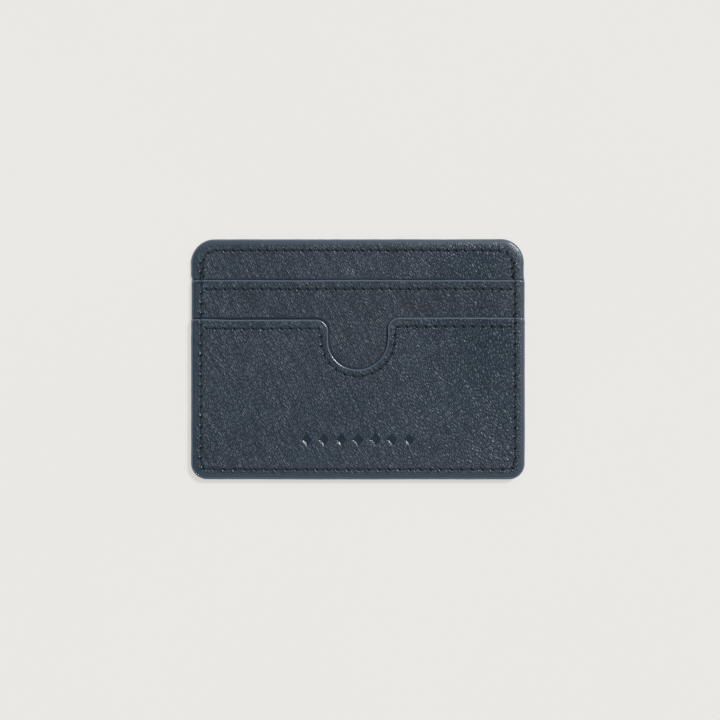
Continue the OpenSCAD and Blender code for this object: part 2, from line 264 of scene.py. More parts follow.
class Seam:
    """A row of needle holes, evenly spaced along a path."""

    def __init__(self, path, pitch):
        self.path = np.concatenate(path)
        reach = run_along(self.path)
        where = np.linspace(0, reach[-1], max(1, int(round(reach[-1] / pitch))) + 1)
        self.holes = np.stack([np.interp(where, reach, self.path[:, k]) for k in (0, 1)], 1)
        way = np.gradient(self.holes, axis=0)
        way /= np.linalg.norm(way, axis=1)[:, None]
        c, s = np.cos(SLIT_ANGLE), np.sin(SLIT_ANGLE)
        self.slant = np.stack([way[:, 0] * c - way[:, 1] * s, way[:, 0] * s + way[:, 1] * c], 1)
        self.pull = rng.uniform(*PULL, len(self.holes))

    def distance(self, x, y):
        """Distance from the seam's line."""
        best = np.full(x.shape, 99.0)
        for (ax, ay), (bx, by) in zip(self.path, self.path[1:]):
            wx, wy = bx - ax, by - ay
            t = np.clip(((x - ax) * wx + (y - ay) * wy) / max(wx * wx + wy * wy, 1e-12), 0, 1)
            best = np.minimum(best, np.hypot(x - ax - wx * t, y - ay - wy * t))
        return best

    def slits(self, x, y):
        """(dip, swelling) from 0 to 1 that the needle's slits leave at some points."""
        dip, swell = np.zeros(x.shape), np.zeros(x.shape)
        for (hx, hy), (ax, ay), pull in zip(self.holes, self.slant, self.pull):
            u = (x - hx) * ax + (y - hy) * ay
            v = (x - hx) * -ay + (y - hy) * ax
            dip = np.maximum(dip, np.exp(-((u / SLIT_L) ** 2) - (v / SLIT_W) ** 2))
            along = pull * np.exp(-((u / SWELL_L) ** 2))
            for place, width, share in SWELLS:
                swell = np.maximum(swell, share * along * np.exp(-(((v - place) / width) ** 2)))
        return dip, swell


def arc_points(centre, r, start, end, n=12):
    a = np.radians(np.linspace(start, end, n))
    return np.stack([centre[0] + r * np.cos(a), centre[1] + r * np.sin(a)], 1)


def perimeter_seam():
    r, x, foot = BOTTOM_R - PERIMETER_INSET, PERIMETER_X, -HALF_H + BOTTOM_R
    return Seam([[(-x, SHOULDER)], arc_points((-x + r, foot), r, 180, 270),
                 arc_points((x - r, foot), r, 270, 360), [(x, SHOULDER)]], PERIMETER_PITCH)


def top_seam():
    r, x, end = TOP_R - TOP_INSET, TOP_SEAM_X, UPPER_MOUTH + TOP_SEAM_END
    return Seam([[(-x, end)], arc_points((-x + r, SHOULDER), r, 180, 90),
                 arc_points((x - r, SHOULDER), r, 90, 0), [(x, end)]], TOP_PITCH)


def upper_mouth_seam():
    y = UPPER_MOUTH - MOUTH_INSET
    return Seam([[(-MOUTH_SEAM_X, y), (MOUTH_SEAM_X, y)]], MOUTH_PITCH)


def lower_mouth_seam():
    y, r = LOWER_MOUTH - MOUTH_INSET, NOTCH_BEND_R
    turn_x, turn_y = NOTCH_SEAM_R + r, y - r
    return Seam([[(-MOUTH_SEAM_X, y)], arc_points((-turn_x, turn_y), r, 90, 0, 6),
                 arc_points((0, NOTCH_Y), NOTCH_SEAM_R, 180, 360, 30),
                 arc_points((turn_x, turn_y), r, 180, 90, 6), [(MOUTH_SEAM_X, y)]], MOUTH_PITCH)


def floor_seam():
    return Seam([[(-FLOOR_SEAM_X, FLOOR_SEAM_Y), (FLOOR_SEAM_X, FLOOR_SEAM_Y)]], PERIMETER_PITCH)


# -------- how the sheets lie


class Layer:
    """One bonded sheet: where its back and front lie, its seams, and its grain at the left and the right."""

    def __init__(self, name, region, seams, seed, grain):
        self.back, self.front = (node_box(name)[k][2] for k in (0, 1))
        self.lining_back, self.lining_front = (node_box(name + "_lining")[k][2] for k in (0, 1))
        self.region = region
        self.seams = [SEAMS[key] for key in seams]
        self.seed = seed
        self.grain = grain


SEAMS = {"perimeter": perimeter_seam(), "top": top_seam(),
         "upper_mouth": upper_mouth_seam(), "lower_mouth": lower_mouth_seam()}
BACK = Layer("back_wall", WALL, ("perimeter", "top"), 100, (0.7, 0.9))
FRONT = Layer("front_wall", WALL, ("perimeter", "top"), 200, (0.55, 0.90))
POCKET_A = Layer("front_upper_pocket", UPPER, ("perimeter", "upper_mouth"), 300, (0.60, 0.72))
POCKET_B = Layer("front_lower_pocket", LOWER, ("perimeter", "lower_mouth"), 400, (0.60, 1.00))

TAPE_REACH = 5.2  # the taped margins, where no sheet rises off the next
SIDE_RISE = 16  # the distance inwards from there over which it rises
PART_TOP = 0.30  # how far the front wall parts from the back wall at the open top
TOP_DOWN = 22  # how far down that reaches
PART_MOUTH = 0.22  # how far a pocket's mouth stands off the sheet behind
UPPER_DOWN = 18
LOWER_DOWN = 20


def lift(layer, x, y):
    """How far a sheet stands off its flat place: the open edges part a little between the side seams."""
    clear = smooth(TAPE_REACH, TAPE_REACH + SIDE_RISE, HALF_W - np.abs(x))
    z = 0 * clear
    if layer is not BACK:
        z = z + PART_TOP * clear * smooth(HALF_H - TOP_DOWN, HALF_H, y)
    if layer in (POCKET_A, POCKET_B):
        z = z + PART_MOUTH * clear * smooth(UPPER_MOUTH - UPPER_DOWN, UPPER_MOUTH, y)
    if layer is POCKET_B:
        z = z + PART_MOUTH * clear * smooth(LOWER_MOUTH - LOWER_DOWN, LOWER_MOUTH, y)
    return z


WAVER_X = 0.06  # how far the sides waver
WAVER_Y = 0.05  # and the top, the bottom and the mouths
TUCK_LEFT = -0.25  # sideways step of the walls above the upper mouth, at the left
TUCK_CHANGE = 0.10  # how much less it is at the right
BELLY = 0.10  # how far the bottom edge bows out
BACK_RIGHT = 0.18  # how far the back wall's upper right corner shows
BACK_UP = 0.22
UPPER_WAVER = 0.10  # more waver of the upper mouth
LOWER_WAVER = 0.08  # and of the lower one
ASKEW_DOWN = 0.30  # how far the lower mouth drops at the left
ASKEW_UP = 0.34  # and rises at the right
OVER_TAPE = 0.7  # share of the drop that its left end loses, to hide the tape


def stray(layer, x, y):
    """How far a point of a sheet strays in plan: cut and sewn by hand, no edge is quite straight."""
    tuck = TUCK_LEFT + TUCK_CHANGE * smooth(-HALF_W, HALF_W, x)
    dx = WAVER_X * noise(y, x * 0, 17, 21) + tuck * smooth(UPPER_MOUTH, UPPER_MOUTH + 1.6, y)
    dy = WAVER_Y * noise(x, y * 0, 13, 22)
    dy = dy - BELLY * smooth(-HALF_H + 6, -HALF_H, y) * np.cos(x / HALF_W * 1.5)
    if layer is BACK:
        dx = dx + BACK_RIGHT * smooth(30, HALF_W, x) * smooth(20, HALF_H, y)
        dy = dy + BACK_UP * smooth(10, HALF_W, x) * smooth(20, HALF_H, y)
    if layer is POCKET_A:
        dy = dy + UPPER_WAVER * noise(x, y * 0, 19, 23) * smooth(UPPER_MOUTH - 6, UPPER_MOUTH, y)
    if layer is POCKET_B:
        at_left = smooth(TAPE_REACH + 7, TAPE_REACH, HALF_W + x)
        drop = ASKEW_DOWN * smooth(12, -12, x) * (1 - OVER_TAPE * at_left)
        rise = ASKEW_UP * smooth(-12, 12, x) - drop + LOWER_WAVER * noise(x, y * 0, 15, 24)
        dy = dy + rise * smooth(LOWER_MOUTH - 26, LOWER_MOUTH - 2, y)
    return dx, dy


BEVEL = 1.35  # a rounded edge reaches this much farther inwards than it falls
EDGE_R = 0.58  # fall of the stacked edges
WALL_EDGE_R = 0.40  # fall of one wall's edge at the open top
LIP_R = 0.33  # fall of a pocket's mouth
SLOPE = 0.18  # how far the border falls in all
SLOPE_REACH = 1.5  # the depth at which the fall starts
SLOPE_END = -0.6  # and at which it would end, past the edge
EDGE_REACH = 0.58  # how far the paint comes in over the face along the outline
LIP_REACH = 0.41  # and along a mouth
UNDER_PAINT = 0.03  # the leather lies this far below the paint's face


def rounded_off(d, fall):
    """How far an edge that is rounded over by fall in all, and farther inwards, falls away at depth d."""
    share = np.clip(1 - d / (BEVEL * fall), 0, 1)
    return fall * (1 - np.sqrt(1 - share * share))


def slope(d):
    """How far the border falls away at depth d, before the edge's own rounding."""
    return SLOPE * smooth(SLOPE_REACH, SLOPE_END, d)


def edge_fall(layer, x, y):
    """How far the painted face lies below the flat face near an edge."""
    region = layer.region
    outline = region.outline_depth(x, y)
    if region is WALL:
        return slope(outline) + rounded_off(outline, np.where(y > SHOULDER, WALL_EDGE_R, EDGE_R))
    lip = rounded_off(region.lip_depth(x, y), LIP_R)
    return slope(outline) + np.maximum(lip, rounded_off(outline, EDGE_R))


LOZENGES = 7
LOZENGE_PITCH = 5.1
LOZENGE_W = 0.62 * LOZENGE_PITCH
LOZENGE_H = 3.8
LOZENGE_Y = -HALF_H + 11.8
LOZENGE_RIM = 1.10  # where the leather starts to fall, as a share of a lozenge's half size
LOZENGE_SLOPE = 0.42  # and the share over which it falls
DEBOSS = 0.17


def ornament(x, y):
    """1 in the pressed lozenges, 0 outside them."""
    middle = (LOZENGES - 1) / 2
    k = np.clip(np.round(x / LOZENGE_PITCH), -middle, middle)
    reach = np.abs(x - k * LOZENGE_PITCH) / (LOZENGE_W / 2) + np.abs(y - LOZENGE_Y) / (LOZENGE_H / 2)
    return np.clip((LOZENGE_RIM - reach) / LOZENGE_SLOPE, 0, 1)


SEAM_VALLEY = 0.05  # how far a seam pulls the leather in
VALLEY_W = 0.36
SLIT_DEPTH = 0.45
PUCKER = 0.10  # how far the leather swells beside a slit
BACK_SINK = 0.18  # keeps the relief of the back off the floor


def seam_valley(layer, x, y):
    """How far the seams pull a sheet's face in."""
    fall = np.zeros(x.shape)
    for seam in layer.seams:
        fall = fall + SEAM_VALLEY * np.exp(-((seam.distance(x, y) / VALLEY_W) ** 2))
    return fall


# What the leather's material reads at each point of a show face: the share of the full grain,
# darkness (painted shade in mouth crevices, seam furrows and slits, and darker pressed lozenges), polish and
# paleness
LOOKS = ("grain", "dark", "polish", "pale")
# Painted shade, darkened into the colour: along the crevice under a mouth, in the seam furrows (with the
# thread's dye) and in the needle slits
CREVICE_SHADE = 0.7
FURROW_SHADE_AND_DYE = 0.48
FURROW_W = 0.24
SLIT_SHADE = 0.95
PRESSED_DARK = 0.48
UPPER_DARK = 0.14  # of the upper pocket, at the left
UPPER_DARKER = 0.12  # and what the right adds
SEAM_CALM = 0.6  # share of the grain that a seam flattens
SEAM_CALM_W = 0.5
PRESSED_CALM = 0.8  # that a lozenge flattens
FOOT_CALM = 0.35  # and that the bottom edge lacks
BORDER_CALM = (0.4, 2.9)  # depths between which the grain sets in
LIP_CALM = (0.2, 0.5)  # and at a mouth
GRAIN_TURN = (-15, 40)  # the grain goes from its left to its right strength between these x
HANDLED = 0.17  # polish of the right side
HANDLED_TURN = (-5, 35)
PALE_BORDER = (1.9, 0.9)  # depths between which the border pales
PALE_LEFT = 6  # but not this near to the left edge
SEAM_BAND = 1.6  # how far from a seam its slits reach
LUMPS = ((0.03, 2.6, 9), (0.012, 1.1, 8))  # height, size and seed
SWAY = 0.04  # height of the wide waves
SWAY_SIZE = 14


def contact(layer, x, y):
    """Painted shade along the crevice where the next sheet's mouth meets this sheet."""
    if layer is FRONT:
        gap = UPPER.lip_depth(x, y)
    elif layer is POCKET_A:
        gap = LOWER.lip_depth(x, y)
    else:
        return np.zeros(x.shape)
    return CREVICE_SHADE * smooth(-0.50, -0.25, gap)


def relief(layer, x, y):
    """A show face's height over the flat face, and its LOOKS."""
    region = layer.region
    outline = region.outline_depth(x, y)
    lip = region.lip_depth(x, y)
    reach = EDGE_REACH if region is WALL else np.where(lip < outline, LIP_REACH, EDGE_REACH)
    depth = region.depth(x, y)
    height = -edge_fall(layer, x, y) - UNDER_PAINT * smooth(reach + 0.1, reach - 0.06, depth)
    height = height - seam_valley(layer, x, y)
    grain = smooth(*BORDER_CALM, outline)
    if region is not WALL:
        grain = grain * smooth(*LIP_CALM, lip)
    at_left, at_right = layer.grain
    grain = grain * (at_left + (at_right - at_left) * smooth(*GRAIN_TURN, x))
    grain = grain * (0.85 + 0.3 * noise(x, y, 12, 31))
    grain = grain * (1 - FOOT_CALM * smooth(-20, -HALF_H, y))
    # painted shade along the crevice under the next sheet's mouth
    dark = contact(layer, x, y)
    grain = grain * (dark == 0)
    if layer is POCKET_A:
        dark = np.maximum(dark, UPPER_DARK + UPPER_DARKER * smooth(-30, 20, x))
    polish = HANDLED * smooth(*HANDLED_TURN, x) * (layer is not POCKET_A)
    pale = smooth(*PALE_BORDER, outline) * smooth(-HALF_W, PALE_LEFT - HALF_W, x)
    for seam in layer.seams:
        d = seam.distance(x, y)
        grain = grain * (1 - SEAM_CALM * np.exp(-((d / SEAM_CALM_W) ** 2)))
        # painted shade in the furrow beside the thread, together with the thread's dye
        dark = np.maximum(dark, FURROW_SHADE_AND_DYE * np.exp(-((d / FURROW_W) ** 2)))
        band = d < SEAM_BAND
        dip, swell = seam.slits(x[band], y[band])
        height[band] += PUCKER * swell - SLIT_DEPTH * dip
        # painted shade in the needle slits
        dark[band] = np.maximum(dark[band], SLIT_SHADE * dip)
        polish[band] = np.maximum(polish[band], np.maximum(dip, swell))
    if layer is POCKET_B:
        pressed = ornament(x, y)
        height = height - DEBOSS * pressed
        grain = grain * (1 - PRESSED_CALM * pressed)
        dark = np.maximum(dark, PRESSED_DARK * pressed)
        polish = np.maximum(polish, smooth(0, 0.3, pressed))
    lumps = sum(size_z * noise(x, y, size, layer.seed + seed) for size_z, size, seed in LUMPS)
    height = height + grain * lumps + SWAY * noise(x, y, SWAY_SIZE, layer.seed) * smooth(2, 8, depth)
    if layer is BACK:
        height = height - BACK_SINK
    return height, grain, dark, polish, pale


# -------- meshes


def make_piece(name, points, faces, material, replaced, attributes=None, smooth_shaded=True):
    """A piece from points in mm, which rides on the one body and stands for CAD nodes."""
    mesh = bpy.data.meshes.new(name)
    mesh.from_pydata((np.asarray(points) * MM).tolist(), [], faces)
    mesh.validate()
    mesh.update()
    mesh.polygons.foreach_set("use_smooth", np.full(len(mesh.polygons), smooth_shaded))
    for key, values in (attributes or {}).items():
        attribute = mesh.attributes.new(key, "FLOAT", "POINT")
        attribute.data.foreach_set("value", np.asarray(values, np.float32))
    obj = bpy.data.objects.new(name, mesh)
    scene.collection.objects.link(obj)
    obj.data.materials.append(material)
    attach(obj, "root")
    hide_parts(*replaced)
    return obj


def band(a, b, n):
    """Faces between two closed rings of n points, which start at points a and b."""
    return [[a + i, b + i, b + (i + 1) % n, a + (i + 1) % n] for i in range(n)]


CORNERS = ((0, 0), (1, 0), (1, 1), (0, 1))
ROUND_A_CELL = np.array([(0, 0), (1, 0), (2, 0), (3, 0), (4, 0), (4, 1), (4, 2), (4, 3),
                         (4, 4), (3, 4), (2, 4), (1, 4), (0, 4), (0, 3), (0, 2), (0, 1)])


def fill(loop, inset, region, cell, margin, wanted=None):
    """Points and faces that fill a loop: square cells, and triangles from them out to the loop.

    Where wanted(x, y) is true, and near the loop, the cells are a quarter as long. The loop's points
    come first. Faces run anticlockwise.
    """
    nx, ny = int(round(2 * HALF_W / cell)), int(round(2 * HALF_H / cell))
    xs, ys = np.linspace(-HALF_W, HALF_W, 4 * nx + 1), np.linspace(-HALF_H, HALF_H, 4 * ny + 1)
    gx, gy = np.meshgrid(xs, ys, indexing="ij")
    inside = region.depth(gx, gy) > inset + margin
    small = inside[:-1, :-1] & inside[1:, :-1] & inside[1:, 1:] & inside[:-1, 1:]
    coarse = small.reshape(nx, 4, ny, 4).all(axis=(1, 3))
    if wanted is not None:
        coarse &= ~wanted(gx[2::4, 2::4], gy[2::4, 2::4])
    fine = small & ~np.repeat(np.repeat(coarse, 4, 0), 4, 1)

    padded = np.pad(small, 1)
    rim = []
    for (a, b), (c, d), (e, f) in (((0, 0), (1, 0), (0, -1)), ((0, 1), (1, 1), (0, 1)),
                                   ((0, 0), (0, 1), (-1, 0)), ((1, 0), (1, 1), (1, 0))):
        beyond = padded[1 + e:padded.shape[0] - 1 + e, 1 + f:padded.shape[1] - 1 + f]
        i, j = np.nonzero(small & ~beyond)
        rim.append(np.stack([i + a, j + b, i + c, j + d], 1))
    rim = np.concatenate(rim)

    used = np.zeros(inside.shape, bool)
    for a, b in CORNERS:
        used[a:4 * nx + a, b:4 * ny + b] |= fine
        used[4 * a:4 * (nx + a) - 3:4, 4 * b:4 * (ny + b) - 3:4] |= coarse
        used[rim[:, 2 * a], rim[:, 2 * a + 1]] = True
    count = len(loop)
    index = np.full(inside.shape, -1)
    index[used] = count + np.arange(used.sum())
    points = np.concatenate([loop, np.stack([gx[used], gy[used]], 1)])
    faces = np.stack([index[a:4 * nx + a, b:4 * ny + b][fine] for a, b in CORNERS], 1).tolist()
    i, j = (4 * k[:, None] for k in np.nonzero(coarse))
    for row in index[i + ROUND_A_CELL[:, 0], j + ROUND_A_CELL[:, 1]]:
        faces.append(row[row >= 0].tolist())

    rim = np.stack([index[rim[:, 0], rim[:, 1]], index[rim[:, 2], rim[:, 3]]], 1)
    rim_points = np.unique(rim)
    local = {int(q): count + k for k, q in enumerate(rim_points)}
    coords = [tuple(q) for q in loop] + [tuple(points[q]) for q in rim_points]
    edges = [(k, (k + 1) % count) for k in range(count)]
    edges += [(local[int(a)], local[int(b)]) for a, b in rim]
    made = geometry.delaunay_2d_cdt(coords, edges, [], 1, 1e-7)
    origin = [o[0] for o in made[3]]
    to_point = list(range(count)) + [int(q) for q in rim_points]
    for face in made[2]:
        cx, cy = np.mean([made[0][v] for v in face], axis=0)
        i, j = np.searchsorted(xs, cx) - 1, np.searchsorted(ys, cy) - 1
        if not small[i, j]:
            faces.append([to_point[origin[v]] for v in face])
    return points, faces


RINGS = (0.38, 0.47, 0.58, 0.72, 0.9, 1.1)  # depths of the rings that carry a sheet's rounded edge
CELL = 0.5  # a show face's cells, which are a quarter as long where the relief is fine
HIDDEN_CELL = 4.0  # a hidden face's cells
LINING_CELL = 2.0


def detailed(layer):
    """A test for the places on a show face that hold fine relief."""
    def test(x, y):
        near = np.zeros(x.shape, bool)
        for seam in layer.seams:
            near |= seam.distance(x, y) < 1.15
        if layer is FRONT:
            near |= np.abs(y - UPPER_MOUTH) < 0.7
        if layer is POCKET_A:
            near |= np.abs(LOWER.lip_depth(x, y)) < 0.8
        if layer is POCKET_B:
            near |= (np.abs(y - LOZENGE_Y) < LOZENGE_H / 2 + 0.4) & (np.abs(x) < LOZENGES * LOZENGE_PITCH / 2)
        return near
    return test


def leather_sheet(node, layer, material, facing):
    """A leather sheet: detailed show face, plain hidden face, and rounded edges under the paint."""
    region = layer.region
    first, last = COAT, RINGS[-1]
    points, faces = fill(region.loop(last), last, region, CELL, 0.06, detailed(layer))
    n = len(region.edge[0])
    rings = [region.loop(d) for d in RINGS[-2::-1]] + [region.loop(first)]
    for k, ring in enumerate(rings):
        outer = len(points)
        inner = 0 if k == 0 else outer - n
        points = np.concatenate([points, ring])
        faces += band(inner, outer, n)
    x, y = points[:, 0], points[:, 1]
    height, *looks = relief(layer, x, y)
    face_z = layer.front if facing > 0 else layer.back
    top = face_z + facing * height + lift(layer, x, y)

    # The hidden face, and the wall between the two
    hidden_z = layer.back if facing > 0 else layer.front
    under, under_faces = fill(region.loop(first + 0.1), first + 0.1, region, HIDDEN_CELL, 0.4)
    base = len(points)
    outer = base - n
    mid = base + len(under)
    middle = region.loop(first)
    x_all = np.concatenate([x, under[:, 0], middle[:, 0]])
    y_all = np.concatenate([y, under[:, 1], middle[:, 1]])
    mid_z = np.full(n, (hidden_z + layer.front + layer.back) / 3)
    z_all = np.concatenate([top, np.full(len(under), hidden_z) + lift(layer, under[:, 0], under[:, 1]),
                            mid_z + lift(layer, middle[:, 0], middle[:, 1])])
    faces += [[base + v for v in reversed(face)] for face in under_faces]
    faces += band(outer, mid, n) + band(mid, base, n)
    if facing < 0:
        faces = [face[::-1] for face in faces]
    dx, dy = stray(layer, x_all, y_all)
    shape = np.stack([x_all + dx, y_all + dy, z_all], 1)
    rest = len(x_all) - len(x)
    attributes = {key: np.concatenate([look, np.zeros(rest)]) for key, look in zip(LOOKS, looks)}
    return make_piece(node + "_leather", shape, faces, material, [node], attributes)


def thin_sheet(node, layer, material):
    """A lining: one thin even sheet that follows its leather."""
    region = layer.region
    flat, faces = fill(region.loop(COAT), COAT, region, LINING_CELL, 0.25)
    n, count = len(region.edge[0]), len(flat)
    x, y = flat[:, 0], flat[:, 1]
    z = lift(layer, x, y)
    low = np.stack([x, y, layer.lining_back + z], 1)
    high = np.stack([x, y, layer.lining_front + z], 1)
    all_faces = [[count + v for v in face] for face in faces] + [face[::-1] for face in faces]
    all_faces += band(count, 0, n)
    points = np.concatenate([low, high])
    points[:, :2] += np.stack(stray(layer, points[:, 0], points[:, 1]), 1)
    piece = make_piece(node + "_cloth", points, all_faces, material, [node], smooth_shaded=False)
    return piece


# -------- edge paint

BEND_STEPS = 13  # points round a rounded edge
SIDE_STEPS = 8  # points up the side
GROOVED_STEPS = 28  # and up a grooved side
PAINT_SINK = 0.012  # how far in from the edge the paint's face lies
PAINT_ROUGH = 0.02
GROOVE_DEPTH = 0.06
GROOVE_W = 0.08
OPENING_DEPTH = 0.5  # what the first groove's ends add
OPENING_REACH = 2.5
STACK_FOOT_R = 0.45  # fall of the stack's lower edge
INSIDE_R = 0.3  # of the edges inside the centre compartment
LIP_FOOT_R = 0.2  # of a mouth's lower edge
FOOT_REACH = 0.9  # how far the paint comes in under the holder
INSIDE_FRONT_REACH = 0.8  # inside the centre compartment
INSIDE_BACK_REACH = 0.5
LIP_FOOT_REACH = 0.5  # and under a mouth
TAPED_FOOT = 0.25  # how far below the next sheet's face it ends over the tape


def paint_bead(name, layer, stations, top_z, foot_z, round_top, round_foot, reach_top, reach_foot,
               material, replaced, grooves=()):
    """Edge paint: a rounded skin swept along part of an edge.

    stations are indices into the edge. top_z and foot_z give the painted height at each of them, and
    grooves are heights at which the layers under the paint show as faint lines. The first groove opens
    towards the ends.
    """
    base, inward = layer.region.edge[0][stations], layer.region.edge[1][stations]
    n = len(stations)
    bend = 1 - np.cos(np.linspace(np.pi / 2, 0, BEND_STEPS))
    top, foot = reach_top * bend, reach_foot * bend[::-1]
    side = np.linspace(1, 0, GROOVED_STEPS if grooves else SIDE_STEPS)[1:-1]
    first, last = -rounded_off(0, round_top), rounded_off(0, round_foot)
    outer = np.concatenate([
        np.stack([top, 1 + 0 * top, -rounded_off(top, round_top)], 1),
        np.stack([0 * side, side, side * first + (1 - side) * last], 1),
        np.stack([foot, 0 * foot, rounded_off(foot, round_foot)], 1),
    ])
    buried = -rounded_off(reach_top, round_top) - 2 * UNDER_PAINT
    inner = [(COAT + 0.1, 0, last + 0.1), (COAT + 0.1, 1, first - 0.1), (reach_top, 1, buried)]
    depth, share, offset = np.concatenate([outer, inner]).T[:, None, :]
    m = depth.shape[1]
    in_x = base[:, 0:1] + inward[:, 0:1] * depth
    in_y = base[:, 1:2] + inward[:, 1:2] * depth
    fall = slope(layer.region.outline_depth(in_x, in_y)) * share
    z = foot_z[:, None] + (top_z - foot_z)[:, None] * share + offset - fall
    run = run_along(base)[:, None]
    skin = (np.arange(m) < m - 3)[None, :]
    from_end = np.minimum(run, run[-1] - run)
    rough = PAINT_ROUGH * (noise(run + 0 * z, z * 2.2, 1.6, 51) + 1.25 * noise(run + 0 * z, z, 5.0, 52))
    depth = depth + skin * (PAINT_SINK + rough * smooth(0, 2, from_end))
    for k, height in enumerate(grooves):
        deep = GROOVE_DEPTH + (k == 0) * OPENING_DEPTH * smooth(OPENING_REACH, 0, from_end)
        depth = depth + skin * deep * np.exp(-(((z - height) / GROOVE_W) ** 2))
    x = base[:, 0:1] + inward[:, 0:1] * depth
    y = base[:, 1:2] + inward[:, 1:2] * depth
    dx, dy = stray(layer, x, y)
    points = np.stack([x + dx, y + dy, z + lift(layer, x, y)], -1).reshape(-1, 3)
    faces = [face for i in range(n - 1) for face in band(i * m, (i + 1) * m, m)]
    faces.append(list(range(m)))
    faces.append([(n - 1) * m + j for j in reversed(range(m))])
    return make_piece(name, points, faces, material, replaced)


def open_stations(region):
    """The edge's stations along the mouth or the top, and one more at each end."""
    marks = np.nonzero(region.edge[2])[0]
    return np.concatenate([[marks[0] - 1], marks, [0]])


def closed_stations(region):
    """The stations down one side, along the bottom and up the other side."""
    marks = np.nonzero(~region.edge[2])[0]
    return np.concatenate([marks, [marks[-1] + 1]])


def stack_height(y):
    """Height of the painted stack at y along the sides. It steps down past each mouth."""
    z = POCKET_B.front
    for upper, lower, mouth in ((POCKET_B, POCKET_A, LOWER_MOUTH), (POCKET_A, FRONT, UPPER_MOUTH)):
        z = z + (lower.front - upper.front) * smooth(mouth - 0.9, mouth + 0.5, y)
    return z


def edge_paint(material):
    """The paint round the stack, along both walls' open tops and on the two mouths."""
    stations = closed_stations(WALL)
    y = WALL.edge[0][stations][:, 1]
    stack = (BACK, FRONT, POCKET_A, POCKET_B)
    slots = [(a.front + b.lining_back) / 2 for a, b in zip(stack, stack[1:])]
    paint_bead("perimeter_edge_paint", FRONT, stations, stack_height(y), 0 * y, EDGE_R, STACK_FOOT_R,
               EDGE_REACH, FOOT_REACH, material, ["perimeter_edge_coating"], grooves=slots)
    stations = open_stations(WALL)
    flat = np.zeros(len(stations))
    paint_bead("back_wall_edge_paint", BACK, stations, flat + BACK.lining_front, flat, INSIDE_R, WALL_EDGE_R,
               INSIDE_BACK_REACH, FOOT_REACH, material, ["back_wall_edge_coating"])
    paint_bead("front_wall_edge_paint", FRONT, stations, flat + FRONT.front, flat + FRONT.lining_back,
               WALL_EDGE_R, INSIDE_R, EDGE_REACH, INSIDE_FRONT_REACH, material, ["front_wall_edge_coating"])
    for behind, layer, name in ((FRONT, POCKET_A, "front_upper_pocket"),
                                (POCKET_A, POCKET_B, "front_lower_pocket")):
        stations = open_stations(layer.region)
        flat = np.zeros(len(stations))
        margin = HALF_W - np.abs(layer.region.edge[0][stations][:, 0])
        taped = smooth(TAPE_REACH + 1, TAPE_REACH, margin)
        foot_z = layer.lining_back - (layer.lining_back - behind.front + TAPED_FOOT) * taped
        paint_bead(name + "_edge_paint", layer, stations, flat + layer.front, foot_z,
                   LIP_R, LIP_FOOT_R, LIP_REACH, LIP_FOOT_REACH, material, [name + "_edge_coating"])


# -------- stitches

THREAD_R = 0.16
SLIT_SHIFT = 0.24  # how far along its slit a stitch's end lies from the seam
PROUD = 0.45  # how far a stitch's centre stands over the leather, as a share of its radius
END_DEPTH = 0.42  # how far a stitch's ends sink into their slits
END_REACH = 0.22
WANDER = 0.02  # how unevenly the ends lie
PLIES = 3
PLY_TURNS = 0.9  # turns of the twist in a millimetre
PLY_WAIST = 0.90  # the thread's radius between two plies, as a share of its own
PLY_SWELL = 0.16  # and what a ply adds to it


def sheet_face(layer, x, y, facing=1):
    """Height of a sheet's show face, without its finer relief."""
    height = -edge_fall(layer, x, y) - seam_valley(layer, x, y)
    if facing > 0:
        return layer.front + height + lift(layer, x, y)
    return layer.back + BACK_SINK - height + lift(layer, x, y)


def top_face(x, y):
    """Height of the holder's front, whichever sheet is uppermost there."""
    z = sheet_face(FRONT, x, y)
    for layer in (POCKET_A, POCKET_B):
        inside = layer.region.depth(x, y) > 0
        z = np.where(inside, sheet_face(layer, x, y), z)
    return z


def taut(s, z):
    """The upper hull of a curve: how a tight thread spans it."""
    out = z.copy()
    hull = [0]
    for k in range(1, len(s)):
        while len(hull) > 1:
            a, b = hull[-2], hull[-1]
            if (z[b] - z[a]) * (s[k] - s[a]) <= (z[k] - z[a]) * (s[b] - s[a]):
                hull.pop()
            else:
                break
        hull.append(k)
    return np.interp(s, s[hull], z[hull], out[0], out[-1])


def stitch_line(a, b, layer, face, facing, proud):
    """The centre line of one stitch between two points in plan, with its ends sunk into their slits.

    proud is how far the thread's centre stands over the face, as a share of its radius.
    """
    t = np.linspace(0, 1, 17)
    length = np.linalg.norm(b - a)
    x, y = a[0] + (b[0] - a[0]) * t, a[1] + (b[1] - a[1]) * t
    dip = np.exp(-((t * length / END_REACH) ** 2)) + np.exp(-(((1 - t) * length / END_REACH) ** 2))
    z = taut(t, facing * face(x, y)) + THREAD_R * proud - END_DEPTH * dip
    dx, dy = stray(layer, x, y)
    return np.stack([x + dx, y + dy, facing * z], 1)


def twisted_tube(line, start_turn, sides=12):
    """A rope of plies along a line: (points, faces) with closed ends."""
    tangent = np.gradient(line, axis=0)
    tangent /= np.linalg.norm(tangent, axis=1)[:, None]
    across = np.cross(tangent, [0, 0, 1.0])
    across /= np.maximum(np.linalg.norm(across, axis=1)[:, None], 1e-6)
    up = np.cross(across, tangent)
    angle = 2 * np.pi * np.arange(sides) / sides
    turn = start_turn + 2 * np.pi * PLY_TURNS * run_along(line)[:, None]
    r = THREAD_R * (PLY_WAIST + PLY_SWELL * np.abs(np.cos(PLIES / 2 * (angle[None, :] - turn))))
    ring = (line[:, None, :] + across[:, None, :] * (r * np.cos(angle))[..., None]
            + up[:, None, :] * (r * np.sin(angle))[..., None])
    n = len(line)
    faces = [face[::-1] for i in range(n - 1) for face in band(i * sides, (i + 1) * sides, sides)]
    faces.append(list(reversed(range(sides))))
    faces.append([(n - 1) * sides + j for j in range(sides)])
    return ring.reshape(-1, 3), faces


